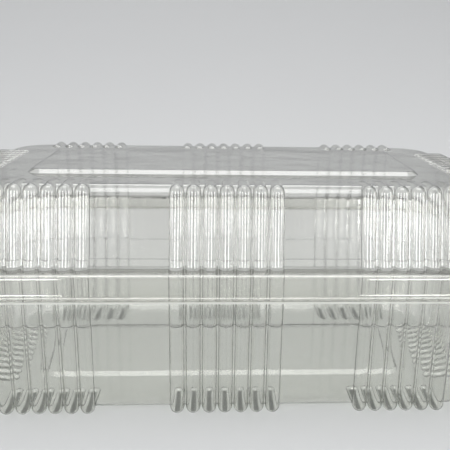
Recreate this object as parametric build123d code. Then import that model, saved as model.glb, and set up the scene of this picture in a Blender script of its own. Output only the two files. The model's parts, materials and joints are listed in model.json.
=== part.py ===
"""Hinged clear food pack, vacuum-formed from one sheet of PET, in millimetres.

A deep tray and a shallower lid are formed side by side in one sheet and fold shut along a
crease at the rear. Both have groups of half-round flutes on all four walls. The tray's
flutes turn under its floor, and the lid's flutes turn over its shoulder onto the top.
The tray's rim is a raised bead, and the lid's rim is a larger bead that nests over it.

Frame: X along the long side, Y from front to rear, Z up. The origin is the middle of the
footprint, on the surface that the pack stands on.
"""
import os
from math import hypot

from build123d import *

# --- sheet -------------------------------------------------------------------------------
SHEET = 0.3                 # thickness of the formed sheet
NEST_GAP = 0.3              # clearance between the tray's bead and the lid's bead
TRIM_GAP = 0.06             # clearance between the two trimmed edges when the pack is shut

# --- plan --------------------------------------------------------------------------------
STRAIGHT_X = 84.0           # half length of the straight part of the front and rear walls
STRAIGHT_Y = 37.0           # half length of the straight part of the side walls
FLOOR_RADIUS = 18.0         # plan radius of the tray's corners where walls meet the floor
LID_TOP_RADIUS = 18.5       # plan radius of the lid's corners where walls meet the top
BEAD_WIDTH = 8.85           # from the tray's outer wall to the lid bead's outer face
TRIM_WIDTH = 3.7            # flat trimmed edge outside the bead

# --- heights -----------------------------------------------------------------------------
FLOOR_Z = 1.0               # underside of the plain floor; the flute runs stand lower
PARTING_Z = 50.2            # top of the tray's trimmed edge, where the two halves meet
LEDGE_DROP = 13.9           # from the parting plane down to the tray's stacking ledge
BEAD_RISE = 8.8             # from the parting plane up to the top of the lid's bead
FOOT_STEP_RISE = 2.6        # from the bead's top up to the small step in the lid's wall
LID_RISE = 28.0             # from the bead's top up to the plain part of the lid's top
LEDGE_Z = PARTING_Z - LEDGE_DROP
BEAD_TOP_Z = PARTING_Z + BEAD_RISE
TRAY_BEAD_Z = BEAD_TOP_Z - SHEET - NEST_GAP     # top of the tray's bead
FOOT_STEP_Z = BEAD_TOP_Z + FOOT_STEP_RISE
TOP_Z = BEAD_TOP_Z + LID_RISE

# --- walls -------------------------------------------------------------------------------
TRAY_LEAN = 0.125           # outward lean of the tray's walls, per mm of height
LID_LEAN = 0.157            # inward lean of the lid's walls, per mm of height
LEDGE_WIDTH = 0.8           # the tray steps out by this much at the ledge
FOOT_STEP_WIDTH = 0.5       # the lid steps out by this much below its foot step
FLOOR_ROUND = 5.5           # rounding between the tray's walls and floor
SHOULDER_ROUND = 6.0        # rounding between the lid's walls and top
BEAD_ROUND = 2.0            # rounding of the lid bead's outer top edge
BEAD_FOOT_ROUND = 1.5       # rounding where the lid bead's outer face runs out on to the trim

# --- flutes ------------------------------------------------------------------------------
FLUTE_RADIUS = 2.75
FLUTE_GAP = 0.5             # strip of plain wall between two neighbouring flutes
FLUTE_PITCH = 2 * FLUTE_RADIUS + FLUTE_GAP
FLUTE_PROUD = 2.4           # how far a flute stands out from its wall
TOP_PROUD = 0.8             # how far a lid flute stands up from the lid's top
FOOT_FLAT = 0.2             # how deep the underside of a tray flute is flattened
FLOOR_RUN = 15.5            # length of a tray flute's run under the floor
TOP_RUN = 10.5              # length of a lid flute's run over the top
MIDDLE_FLUTES = 7           # in the middle group of the front and rear walls
OUTER_FLUTES = 6            # in each outer group of the front and rear walls
OUTER_END_GAP = 2.6         # from the last flute of an outer group to the wall's end
SIDE_FLUTES = 10            # on each side wall

# --- panels ------------------------------------------------------------------------------
FLOOR_PANEL_X = 75.5        # half length of the floor's raised panel, at its foot
FLOOR_PANEL_Y = 26.5        # half width of the floor's raised panel, at its foot
LID_PANEL_X = 77.5
LID_PANEL_Y = 31.0
PANEL_RISE = 1.6
PANEL_SLOPE = 1.8           # width of a panel's sloping edge, in plan
PANEL_RADIUS = 5.5

REACH = 400.0               # larger than the pack, for slabs that trim


def rounded_plate(grow, z):
    """Plan outline whose corner radius is grow, on the plane at height z."""
    return Pos(0, 0, z) * RectangleRounded(2 * (STRAIGHT_X + grow), 2 * (STRAIGHT_Y + grow), grow)


def upright_block(grow, z_low, z_high):
    return extrude(rounded_plate(grow, z_low), z_high - z_low)


def leaning_block(grow_at, z_low, z_high):
    """Block with leaning walls; grow_at gives the outline's corner radius at a height."""
    return loft([rounded_plate(grow_at(z_low), z_low), rounded_plate(grow_at(z_high), z_high)], ruled=True)


def slab(z_low, z_high):
    return Pos(0, 0, (z_low + z_high) / 2) * Box(REACH, REACH, z_high - z_low)


def rounded_end(block, which, radius):
    """Rounds the block's lowest (0) or highest (-1) loop of edges."""
    return fillet(block.edges().group_by(Axis.Z)[which], radius)


def bead_on_trim(grow, trim_z, top_z, layer):
    """Bead that stands on the trim's plane at trim_z. layer counts the sheet faces inward
    from the lid's outer face, so that nested faces are rounded about the same lines."""
    bead = upright_block(grow, trim_z - SHEET, top_z)
    bead = rounded_end(bead, -1, BEAD_ROUND - layer * SHEET)
    joined = bead + upright_block(BEAD_RADIUS + TRIM_WIDTH, trim_z - SHEET, trim_z)
    foot = []
    for edge in joined.edges().filter_by_position(Axis.Z, trim_z, trim_z):
        box = edge.bounding_box()
        across_x = max(box.max.X, -box.min.X) - STRAIGHT_X - grow
        across_y = max(box.max.Y, -box.min.Y) - STRAIGHT_Y - grow
        if across_x < 0.01 and across_y < 0.01:
            foot.append(edge)
    return fillet(foot, BEAD_FOOT_ROUND + layer * SHEET)


def panel_block(half_x, half_y, z_foot, grow):
    """Shallow block with sloping edges that raises a panel by PANEL_RISE."""
    foot = Pos(0, 0, z_foot) * RectangleRounded(2 * (half_x + grow), 2 * (half_y + grow), PANEL_RADIUS + grow)
    crown_grow = grow - PANEL_SLOPE
    crown = RectangleRounded(2 * (half_x + crown_grow), 2 * (half_y + crown_grow), PANEL_RADIUS + crown_grow)
    return loft([foot, Pos(0, 0, z_foot + PANEL_RISE) * crown], ruled=True)


# --- wall lines: corner radius of the outer face at a height -----------------------------
def tray_wall(z):
    return FLOOR_RADIUS + TRAY_LEAN * (z - FLOOR_Z)


def collar_wall(z):
    return tray_wall(z) + LEDGE_WIDTH


def lid_wall(z):
    return LID_TOP_RADIUS + LID_LEAN * (TOP_Z - z)


def foot_wall(z):
    return lid_wall(z) + FOOT_STEP_WIDTH


BEAD_RADIUS = collar_wall(PARTING_Z) + BEAD_WIDTH      # plan radius of the lid bead's outer face


# --- flutes ------------------------------------------------------------------------------
def bar(start, end, radius):
    """Round bar on the wall's own section plane; start and end are (outward, height)."""
    length = hypot(end[0] - start[0], end[1] - start[1])
    direction = (0, start[0] - end[0], end[1] - start[1])
    placed = Plane(origin=(0, -start[0], start[1]), x_dir=(1, 0, 0), z_dir=direction)
    return placed * Cylinder(radius, length, align=(Align.CENTER, Align.CENTER, Align.MIN))


def ball(centre, radius):
    return Pos(0, -centre[0], centre[1]) * Sphere(radius)


def wall_flute(wall, z_low, z_high, radius):
    """Straight flute along a leaning wall, for the front wall at x = 0."""
    inset = FLUTE_RADIUS - FLUTE_PROUD
    start = (STRAIGHT_Y + wall(z_low) - inset, z_low)
    end = (STRAIGHT_Y + wall(z_high) - inset, z_high)
    return bar(start, end, radius)


def turned_flute(wall, z_open, z_turn, run, radius):
    """Flute along a wall that turns a ball-shaped corner and runs inward to a domed end."""
    inset = FLUTE_RADIUS - FLUTE_PROUD
    opening = (STRAIGHT_Y + wall(z_open) - inset, z_open)
    corner = (STRAIGHT_Y + wall(z_turn) - inset, z_turn)
    tip = (corner[0] - run, z_turn)
    pieces = [ball(corner, radius), bar(corner, tip, radius), ball(tip, radius)]
    return bar(opening, corner, radius) + pieces


def all_round(flute):
    """Copies of one front flute in every place that has a flute, on all four walls."""
    half_middle = (MIDDLE_FLUTES - 1) / 2
    places = [FLUTE_PITCH * (i - half_middle) for i in range(MIDDLE_FLUTES)]
    for i in range(OUTER_FLUTES):
        x = STRAIGHT_X - OUTER_END_GAP - FLUTE_PITCH * i
        places += [x, -x]
    half_side = (SIDE_FLUTES - 1) / 2
    side_shift = STRAIGHT_X - STRAIGHT_Y
    copies = []
    for turn in (0, 180):
        copies += [Rot(0, 0, turn) * Pos(x, 0, 0) * flute for x in places]
    for turn in (90, 270):
        for i in range(SIDE_FLUTES):
            along = FLUTE_PITCH * (i - half_side)
            copies.append(Rot(0, 0, turn) * Pos(along, -side_shift, 0) * flute)
    return copies


# --- tray --------------------------------------------------------------------------------
def tray_form(inset):
    """Everything inside the tray's outer face (inset 0) or inside its inner face (SHEET)."""
    radius = FLUTE_RADIUS - inset
    ledge_z = LEDGE_Z + inset
    rim_z = TRAY_BEAD_Z if inset == 0 else BEAD_TOP_Z
    floor_z = FLOOR_Z + inset
    body = leaning_block(lambda z: tray_wall(z) - inset, floor_z, ledge_z)
    body = rounded_end(body, 0, FLOOR_ROUND - inset)
    turn_z = FLUTE_RADIUS - FOOT_FLAT
    lower = body + all_round(turned_flute(tray_wall, ledge_z + FLUTE_RADIUS, turn_z, FLOOR_RUN, radius))
    lower = lower & slab(inset, ledge_z)
    lower = lower - panel_block(FLOOR_PANEL_X, FLOOR_PANEL_Y, floor_z, inset)
    collar = leaning_block(lambda z: collar_wall(z) - inset, ledge_z, rim_z)
    flute = wall_flute(collar_wall, ledge_z - FLUTE_RADIUS, rim_z + FLUTE_RADIUS, radius)
    collar = (collar + all_round(flute)) & slab(ledge_z, rim_z)
    return lower + collar


def make_tray():
    outer = tray_form(0)
    grow = BEAD_RADIUS - SHEET - NEST_GAP
    bead = bead_on_trim(grow, PARTING_Z, TRAY_BEAD_Z, 1)
    hollow = bead_on_trim(grow - SHEET, PARTING_Z - SHEET, TRAY_BEAD_Z - SHEET, 2) - outer
    return (outer + bead) - hollow - tray_form(SHEET)


# --- lid ---------------------------------------------------------------------------------
def lid_form(inset):
    """Everything inside the lid's outer face (inset 0) or inside its inner face (SHEET)."""
    radius = FLUTE_RADIUS - inset
    step_z = FOOT_STEP_Z - inset
    bead_z = BEAD_TOP_Z - inset
    top_z = TOP_Z - inset
    trim_z = PARTING_Z + TRIM_GAP + SHEET - inset
    turn_z = TOP_Z + TOP_PROUD - FLUTE_RADIUS
    dome = leaning_block(lambda z: lid_wall(z) - inset, step_z, top_z)
    dome = rounded_end(dome, -1, SHOULDER_ROUND - inset)
    dome = dome + all_round(turned_flute(lid_wall, step_z - FLUTE_RADIUS, turn_z, TOP_RUN, radius))
    dome = dome & slab(step_z, REACH / 2)
    dome = dome + panel_block(LID_PANEL_X, LID_PANEL_Y, top_z, -inset)
    foot = leaning_block(lambda z: foot_wall(z) - inset, bead_z, step_z)
    flute = wall_flute(foot_wall, bead_z - FLUTE_RADIUS, step_z + FLUTE_RADIUS, radius)
    foot = (foot + all_round(flute)) & slab(bead_z, step_z)
    bead = bead_on_trim(BEAD_RADIUS - inset, trim_z, bead_z, inset / SHEET)
    return bead + [foot, dome]


def make_lid():
    return lid_form(0) - lid_form(SHEET)


if __name__ == "__main__":
    os.makedirs("parts", exist_ok=True)
    export_step(make_tray(), "parts/base_tray.step")
    export_step(make_lid(), "parts/lid.step")
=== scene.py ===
"""Looks of the hinged clear food pack: its formed PET sheet and a plain studio stage."""

import json
from math import cos, radians, sin

import bpy
from mathutils import Matrix, Vector

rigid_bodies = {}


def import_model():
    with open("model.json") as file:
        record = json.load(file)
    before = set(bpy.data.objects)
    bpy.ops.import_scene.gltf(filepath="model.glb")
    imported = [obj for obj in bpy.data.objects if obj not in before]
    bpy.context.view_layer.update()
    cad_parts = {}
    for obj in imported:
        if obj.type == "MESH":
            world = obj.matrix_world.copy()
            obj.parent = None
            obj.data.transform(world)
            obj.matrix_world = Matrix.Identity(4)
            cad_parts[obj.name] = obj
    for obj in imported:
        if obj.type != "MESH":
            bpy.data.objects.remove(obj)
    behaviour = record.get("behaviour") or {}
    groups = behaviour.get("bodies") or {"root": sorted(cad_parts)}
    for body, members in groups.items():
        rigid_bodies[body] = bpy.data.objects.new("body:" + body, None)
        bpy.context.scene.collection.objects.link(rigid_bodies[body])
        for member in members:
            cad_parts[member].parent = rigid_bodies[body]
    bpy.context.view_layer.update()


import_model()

bl_info = {
    "name": "Hinged Clear Food Pack",
    "version": (1, 0, 0),
    "blender": (4, 5, 0),
    "location": "View3D > Sidebar > Food Pack",
    "description": "Finishes the formed PET tray and lid and sets a plain studio stage",
    "category": "Object",
}

MM = 0.001

# Plan of the trimmed edge: half lengths of its straight sides and the radius of its corners
STRAIGHT_X = 84.0 * MM
STRAIGHT_Y = 37.0 * MM
TRIM_RADIUS = 37.5 * MM
CUT_START = 0.12 * MM       # how far inside the trimmed edge its frosting starts
CUT_FULL = 0.04 * MM        # how far inside the trimmed edge it is complete

# The sheet's material
PET_IOR = 1.575
PEEL_SIZE = 1.1 * MM        # distance between the bumps of the orange peel
HAZE_SIZE = 28.0 * MM       # distance between patches of handling haze
HAZE_FACTOR = 2.2           # how much rougher the haziest patch is than a clean one
LIGHT_BOUNCES = 32          # light crosses up to sixteen walls on its way through the pack

# The paper sweep, in metres
SWEEP_WIDTH = 8.0
SWEEP_DEPTH = 7.0
SWEEP_BACK = 1.5            # how far behind the pack the sweep stands up
SWEEP_HEIGHT = 2.5
SWEEP_CURVE = 1.1           # radius of the curve between floor and backdrop
SWEEP_STEPS = 32            # flat strips that make the curve

# The room: the height of a direction at which it starts to brighten and at which it is full
ROOM_LOW = -0.05
ROOM_HIGH = 0.75
ROOM_DIMMEST = 0.5          # its share of light at eye level

# The lamps, in metres: name, place, height of the point that it faces, width, height and the
# setting that holds its power. The windows stand low, so that upright flutes mirror them.
LAMPS = (
    ("top_lamp", (0.0, -0.15, 1.05), 0.04, 0.90, 0.60, "top_power"),
    ("left_window", (-0.46, -1.11, 0.22), 0.06, 0.36, 0.42, "window_power"),
    ("right_window", (0.46, -1.11, 0.22), 0.06, 0.36, 0.42, "window_power"),
    ("left_side_window", (-1.11, -0.46, 0.22), 0.06, 0.50, 0.42, "window_power"),
    ("right_side_window", (1.11, -0.46, 0.22), 0.06, 0.50, 0.42, "window_power"),
    ("rear_window", (0.0, 1.0, 0.9), 0.06, 0.9, 0.35, "rear_power"),
)

# The camera: place, angles in degrees, and how far its sensor is shifted
CAMERA_PLACE = (-4.942 * MM, -310.26 * MM, 136.64 * MM)
CAMERA_PITCH = 10.41        # downward
CAMERA_YAW = 3.258          # to the right
CAMERA_ROLL = 1.0125        # clockwise
CAMERA_SHIFT = (-0.0648, -0.1012)
SENSOR_WIDTH = 36.0


# --- helpers -----------------------------------------------------------------------------
def linear(hex_colour, alpha=1.0):
    """An sRGB hex value as a linear RGBA colour."""
    values = [int(hex_colour[i:i + 2], 16) / 255 for i in (1, 3, 5)]
    return [v / 12.92 if v <= 0.04045 else ((v + 0.055) / 1.055) ** 2.4 for v in values] + [alpha]


def node(tree, kind, at=(0, 0), links=None, **settings):
    """Adds a node: links maps its inputs to outputs, settings are its values or properties."""
    made = tree.nodes.new(kind)
    made.location = at
    for name, value in settings.items():
        setattr(made, name, value)
    for socket, value in (links or {}).items():
        if isinstance(value, bpy.types.NodeSocket):
            tree.links.new(value, made.inputs[socket])
        else:
            made.inputs[socket].default_value = value
    return made


def new_material(name):
    material = bpy.data.materials.new(name)
    material.use_nodes = True
    material.node_tree.nodes.clear()
    return material


def deselect_all():
    for obj in bpy.context.view_layer.objects:
        obj.select_set(False)


def select_edges(obj, wanted):
    """Selects the edges whose two end points pass the test, out of edit mode."""
    points = obj.data.vertices
    for edge in obj.data.edges:
        edge.select = wanted(points[edge.vertices[0]].co, points[edge.vertices[1]].co)


# --- materials ---------------------------------------------------------------------------
def clear_pet(name, look):
    """Clear PET, vacuum-formed: glossy and clear, with a faint warm grey tint, a painted dark
    shade where the sheet turns away from the eye (partly the deeper tint of a longer path through
    the sheet), slow waves left by forming and a frosted cut edge."""
    material = new_material(name)
    tree = material.node_tree
    place = node(tree, "ShaderNodeTexCoord", (-1500, 0)).outputs["Object"]

    # slow waves in the sheet, where it stretched unevenly over the mould
    waves = node(tree, "ShaderNodeTexNoise", (-1200, -300), {
        "Vector": place, "Scale": 1.0 / look.wave_length, "Detail": 2.0, "Roughness": 0.45})
    slow = node(tree, "ShaderNodeBump", (-750, -300), {
        "Height": waves.outputs["Fac"], "Strength": 1.0, "Distance": look.wave_depth})
    # fine orange peel that breaks up the edges of reflections
    peel = node(tree, "ShaderNodeTexNoise", (-1200, -600), {
        "Vector": place, "Scale": 1.0 / PEEL_SIZE, "Detail": 1.0, "Roughness": 0.4})
    relief = node(tree, "ShaderNodeBump", (-500, -400), {
        "Height": peel.outputs["Fac"], "Strength": 1.0, "Distance": look.peel_depth,
        "Normal": slow.outputs[0]})

    # handling haze: soft patches that are a little less glossy
    patches = node(tree, "ShaderNodeTexNoise", (-1200, 200), {
        "Vector": place, "Scale": 1.0 / HAZE_SIZE, "Detail": 4.0, "Roughness": 0.6})
    haze = node(tree, "ShaderNodeMapRange", (-900, 200), {
        "Value": patches.outputs["Fac"], "From Min": 0.4, "From Max": 0.75,
        "To Min": look.gloss_roughness, "To Max": look.gloss_roughness * HAZE_FACTOR})

    # the cut edge of the trimmed rim is frosted: it scatters light instead of letting it through
    away = node(tree, "ShaderNodeVectorMath", (-1200, 600), {0: place}, operation="ABSOLUTE")
    corner = node(tree, "ShaderNodeVectorMath", (-1050, 600), {
        0: away.outputs[0], 1: (STRAIGHT_X, STRAIGHT_Y, 10.0)}, operation="SUBTRACT")
    outside = node(tree, "ShaderNodeVectorMath", (-900, 600), {
        0: corner.outputs[0], 1: (0.0, 0.0, 0.0)}, operation="MAXIMUM")
    reach = node(tree, "ShaderNodeVectorMath", (-750, 600), {
        0: outside.outputs[0]}, operation="LENGTH")
    cut = node(tree, "ShaderNodeMapRange", (-600, 600), {
        "Value": reach.outputs["Value"], "From Min": TRIM_RADIUS - CUT_START,
        "From Max": TRIM_RADIUS - CUT_FULL})
    roughness = node(tree, "ShaderNodeMix", (-350, 250), {
        0: cut.outputs[0], 2: haze.outputs[0], 3: look.cut_roughness})

    # painted shade: where the sheet turns away from the eye its colour darkens into a dark
    # outline, partly the deeper tint of a longer path through the sheet
    turn = node(tree, "ShaderNodeLayerWeight", (-800, -50), {"Blend": 0.5})
    edge_shade_mask = node(tree, "ShaderNodeMapRange", (-600, -50), {
        "Value": turn.outputs["Facing"], "From Min": 0.45, "From Max": 0.98},
        interpolation_type="SMOOTHSTEP")
    tint_and_edge_shade = node(tree, "ShaderNodeMix", (-350, 0), {
        0: edge_shade_mask.outputs[0], 6: linear(look.sheet_hex), 7: linear(look.contour_shade_hex)},
        data_type="RGBA")

    body = node(tree, "ShaderNodeMix", (-150, 100), {
        0: cut.outputs[0], 6: tint_and_edge_shade.outputs[2], 7: linear(look.cut_hex)}, data_type="RGBA")
    clear = node(tree, "ShaderNodeMapRange", (-350, 500), {
        "Value": cut.outputs[0], "To Min": 1.0, "To Max": look.cut_clearness})

    sheet = node(tree, "ShaderNodeBsdfPrincipled", (0, 0), {
        "Base Color": body.outputs[2], "Roughness": roughness.outputs[0], "IOR": PET_IOR,
        "Transmission Weight": clear.outputs[0], "Normal": relief.outputs[0]})

    # a sheet this thin casts only a faint shadow: lamps pass through it
    path = node(tree, "ShaderNodeLightPath", (0, 400))
    open_way = node(tree, "ShaderNodeBsdfTransparent", (0, -450), {
        "Color": linear(look.shadow_hex)})
    mixed = node(tree, "ShaderNodeMixShader", (300, 0), {
        0: path.outputs["Is Shadow Ray"], 1: sheet.outputs[0], 2: open_way.outputs[0]})
    node(tree, "ShaderNodeOutputMaterial", (500, 0), {"Surface": mixed.outputs[0]})
    return material


def matt_card(name, hex_colour):
    """Matt paper sweep: an even pale grey with no gloss; it shows as written to the lens and
    in what the clear sheet mirrors or lets through."""
    material = new_material(name)
    tree = material.node_tree
    card = node(tree, "ShaderNodeBsdfDiffuse", (0, 0), {
        "Color": linear(hex_colour), "Roughness": 1.0})
    node(tree, "ShaderNodeOutputMaterial", (300, 0), {"Surface": card.outputs[0]})
    return material


# --- properties --------------------------------------------------------------------------
class PackSheetSettings(bpy.types.PropertyGroup):
    sheet_hex: bpy.props.StringProperty(
        name="Sheet colour", description="Cast of the clear sheet, as an sRGB hex value",
        default="#F9F9F7")
    # painted shade: the dark outline colour mixed in where the sheet turns away from the eye,
    # partly the deeper tint of a longer path through the sheet
    contour_shade_hex: bpy.props.StringProperty(
        name="Contour colour", description="Cast where the sheet turns away from the eye",
        default="#B9BAB4")
    shadow_hex: bpy.props.StringProperty(
        name="Shadow colour", description="Light that each face of the sheet lets on to the floor",
        default="#F2F3F1")
    gloss_roughness: bpy.props.FloatProperty(
        name="Gloss roughness", description="Roughness of the formed faces", default=0.035,
        min=0.0, max=1.0)
    cut_roughness: bpy.props.FloatProperty(
        name="Cut edge roughness", description="Roughness of the trimmed edge", default=0.55,
        min=0.0, max=1.0)
    cut_hex: bpy.props.StringProperty(
        name="Cut edge colour", default="#E6E7E2",
        description="Colour of the frosted trimmed edge, as an sRGB hex value")
    cut_clearness: bpy.props.FloatProperty(
        name="Cut edge clearness", description="Share of light that the trimmed edge lets through",
        default=0.25, min=0.0, max=1.0)
    wave_length: bpy.props.FloatProperty(
        name="Wave length", description="Distance between the sheet's slow waves",
        default=14.0 * MM, unit="LENGTH", min=0.1 * MM)
    wave_depth: bpy.props.FloatProperty(
        name="Wave depth", description="Depth of the sheet's slow waves",
        default=0.12 * MM, unit="LENGTH", min=0.0)
    peel_depth: bpy.props.FloatProperty(
        name="Orange peel depth", description="Depth of the fine unevenness of the sheet",
        default=0.01 * MM, unit="LENGTH", min=0.0)


class PackStageSettings(bpy.types.PropertyGroup):
    floor_hex: bpy.props.StringProperty(
        name="Floor colour", description="Colour of the paper sweep, as an sRGB hex value",
        default="#CBCCCD")
    world_strength: bpy.props.FloatProperty(
        name="Room light", description="Strength of the even light from all round",
        default=0.68, min=0.0)
    top_power: bpy.props.FloatProperty(
        name="Top lamp", description="Power of the large lamp above",
        default=4.6, subtype="POWER", min=0.0)
    window_power: bpy.props.FloatProperty(
        name="Window lamps", description="Power of each low lamp in front and at the sides",
        default=2.9, subtype="POWER", min=0.0)
    rear_power: bpy.props.FloatProperty(
        name="Rear lamp", description="Power of the wide lamp behind",
        default=2.0, subtype="POWER", min=0.0)
    focal_length: bpy.props.FloatProperty(
        name="Focal length", description="Lens of the camera, in millimetres",
        default=58.01, min=1.0)


# --- operators ---------------------------------------------------------------------------
class PACK_OT_finish_sheet(bpy.types.Operator):
    """Gives the tray and the lid the clear PET that they are formed from"""

    bl_idname = "pack.finish_sheet"
    bl_label = "Finish Sheet"

    def execute(self, context):
        finish = clear_pet("clear_pet_vacuum_formed", context.scene.pack_sheet)
        for name in ("base_tray", "lid"):
            shape = bpy.data.objects.get(name)
            if shape is None:
                raise RuntimeError(f"the frame has no {name}")
            shape.data.materials.clear()
            shape.data.materials.append(finish)
        return {"FINISHED"}


class PACK_OT_set_stage(bpy.types.Operator):
    """Sets the paper sweep, the studio lamps and the camera"""

    bl_idname = "pack.set_stage"
    bl_label = "Set Stage"

    def execute(self, context):
        look = context.scene.pack_stage
        self.make_sweep(look)
        self.make_lamps(context, look)
        self.make_camera(context, look)
        return {"FINISHED"}

    def make_sweep(self, look):
        """A floor that curves up into a backdrop far behind the pack."""
        deselect_all()
        bpy.ops.mesh.primitive_plane_add(size=1.0, location=(0, 0, 0))
        sweep = bpy.context.object
        sweep.name = "paper_sweep"
        sweep.data.name = "paper_sweep"
        bpy.ops.object.mode_set(mode="EDIT")
        bpy.ops.transform.resize(value=(SWEEP_WIDTH, SWEEP_DEPTH, 1.0))
        bpy.ops.transform.translate(value=(0, SWEEP_BACK - SWEEP_DEPTH / 2, 0))
        bpy.ops.mesh.select_mode(type="EDGE")
        bpy.ops.mesh.select_all(action="DESELECT")
        bpy.ops.object.mode_set(mode="OBJECT")
        at_back = SWEEP_BACK - MM
        select_edges(sweep, lambda a, b: min(a.y, b.y) > at_back)
        bpy.ops.object.mode_set(mode="EDIT")
        bpy.ops.mesh.extrude_edges_move(TRANSFORM_OT_translate={"value": (0, 0, SWEEP_HEIGHT)})
        bpy.ops.mesh.select_all(action="DESELECT")
        bpy.ops.object.mode_set(mode="OBJECT")
        select_edges(sweep, lambda a, b: min(a.y, b.y) > at_back and max(a.z, b.z) < MM)
        bpy.ops.object.mode_set(mode="EDIT")
        bpy.ops.mesh.bevel(offset=SWEEP_CURVE, segments=SWEEP_STEPS, affect="EDGES")
        bpy.ops.mesh.select_all(action="SELECT")
        bpy.ops.mesh.faces_shade_smooth()
        bpy.ops.object.mode_set(mode="OBJECT")
        sweep.data.materials.append(matt_card("matt_paper_card", look.floor_hex))

    def make_lamps(self, context, look):
        room = bpy.data.worlds.new("studio_room")
        room.use_nodes = True
        tree = room.node_tree
        tree.nodes.clear()
        # an even room that is dimmer at eye level than overhead, so that the clear edges show
        way = node(tree, "ShaderNodeTexCoord", (-900, 0)).outputs["Generated"]
        height = node(tree, "ShaderNodeSeparateXYZ", (-700, 0), {0: way}).outputs["Z"]
        level = node(tree, "ShaderNodeMapRange", (-500, 0), {
            "Value": height, "From Min": ROOM_LOW, "From Max": ROOM_HIGH,
            "To Min": look.world_strength * ROOM_DIMMEST, "To Max": look.world_strength})
        light = node(tree, "ShaderNodeBackground", (0, 0), {
            "Color": linear("#FFFFFF"), "Strength": level.outputs[0]})
        node(tree, "ShaderNodeOutputWorld", (300, 0), {"Surface": light.outputs[0]})
        context.scene.world = room
        for name, place, aim_height, width, height, power in LAMPS:
            lamp = bpy.data.lights.new(name, "AREA")
            lamp.shape = "RECTANGLE"
            lamp.size = width
            lamp.size_y = height
            lamp.energy = getattr(look, power)
            obj = bpy.data.objects.new(name, lamp)
            obj.location = place
            aim = Vector((0, 0, aim_height)) - Vector(place)
            obj.rotation_euler = aim.to_track_quat("-Z", "Y").to_euler()
            obj.visible_camera = False
            context.scene.collection.objects.link(obj)

    def make_camera(self, context, look):
        lens = bpy.data.cameras.new("camera")
        lens.sensor_fit = "HORIZONTAL"
        lens.sensor_width = SENSOR_WIDTH
        lens.lens = look.focal_length
        lens.shift_x, lens.shift_y = CAMERA_SHIFT
        lens.clip_start = 0.01
        lens.clip_end = 20.0
        pitch, yaw, roll = radians(CAMERA_PITCH), radians(CAMERA_YAW), radians(CAMERA_ROLL)
        ahead = Vector((sin(yaw) * cos(pitch), cos(yaw) * cos(pitch), -sin(pitch)))
        level = Vector((cos(yaw), -sin(yaw), 0))
        upright = level.cross(ahead)
        right = level * cos(roll) + upright * sin(roll)
        up = upright * cos(roll) - level * sin(roll)
        camera = bpy.data.objects.new("camera", lens)
        turn = Matrix((right, up, -ahead)).transposed().to_4x4()
        camera.matrix_world = Matrix.Translation(CAMERA_PLACE) @ turn
        context.scene.collection.objects.link(camera)
        context.scene.camera = camera
        context.scene.view_settings.view_transform = "Standard"
        context.scene.cycles.max_bounces = LIGHT_BOUNCES
        context.scene.cycles.transmission_bounces = LIGHT_BOUNCES
        context.scene.cycles.transparent_max_bounces = LIGHT_BOUNCES


# --- panel -------------------------------------------------------------------------------
class PACK_PT_sidebar(bpy.types.Panel):
    """Lists the pack's settings and operators"""

    bl_idname = "PACK_PT_sidebar"
    bl_label = "Food Pack"
    bl_space_type = "VIEW_3D"
    bl_region_type = "UI"
    bl_category = "Food Pack"

    def draw(self, context):
        layout = self.layout
        for group in (context.scene.pack_sheet, context.scene.pack_stage):
            for name in group.__annotations__:
                layout.prop(group, name)
        for operator in OPERATORS:
            layout.operator(operator.bl_idname)


OPERATORS = (PACK_OT_finish_sheet, PACK_OT_set_stage)
CLASSES = (PackSheetSettings, PackStageSettings) + OPERATORS + (PACK_PT_sidebar,)


def register():
    for cls in CLASSES:
        bpy.utils.register_class(cls)
    bpy.types.Scene.pack_sheet = bpy.props.PointerProperty(type=PackSheetSettings)
    bpy.types.Scene.pack_stage = bpy.props.PointerProperty(type=PackStageSettings)


def unregister():
    del bpy.types.Scene.pack_stage
    del bpy.types.Scene.pack_sheet
    for cls in reversed(CLASSES):
        bpy.utils.unregister_class(cls)


def main():
    register()
    bpy.ops.pack.finish_sheet()
    bpy.ops.pack.set_stage()


if __name__ == "__main__":
    main()
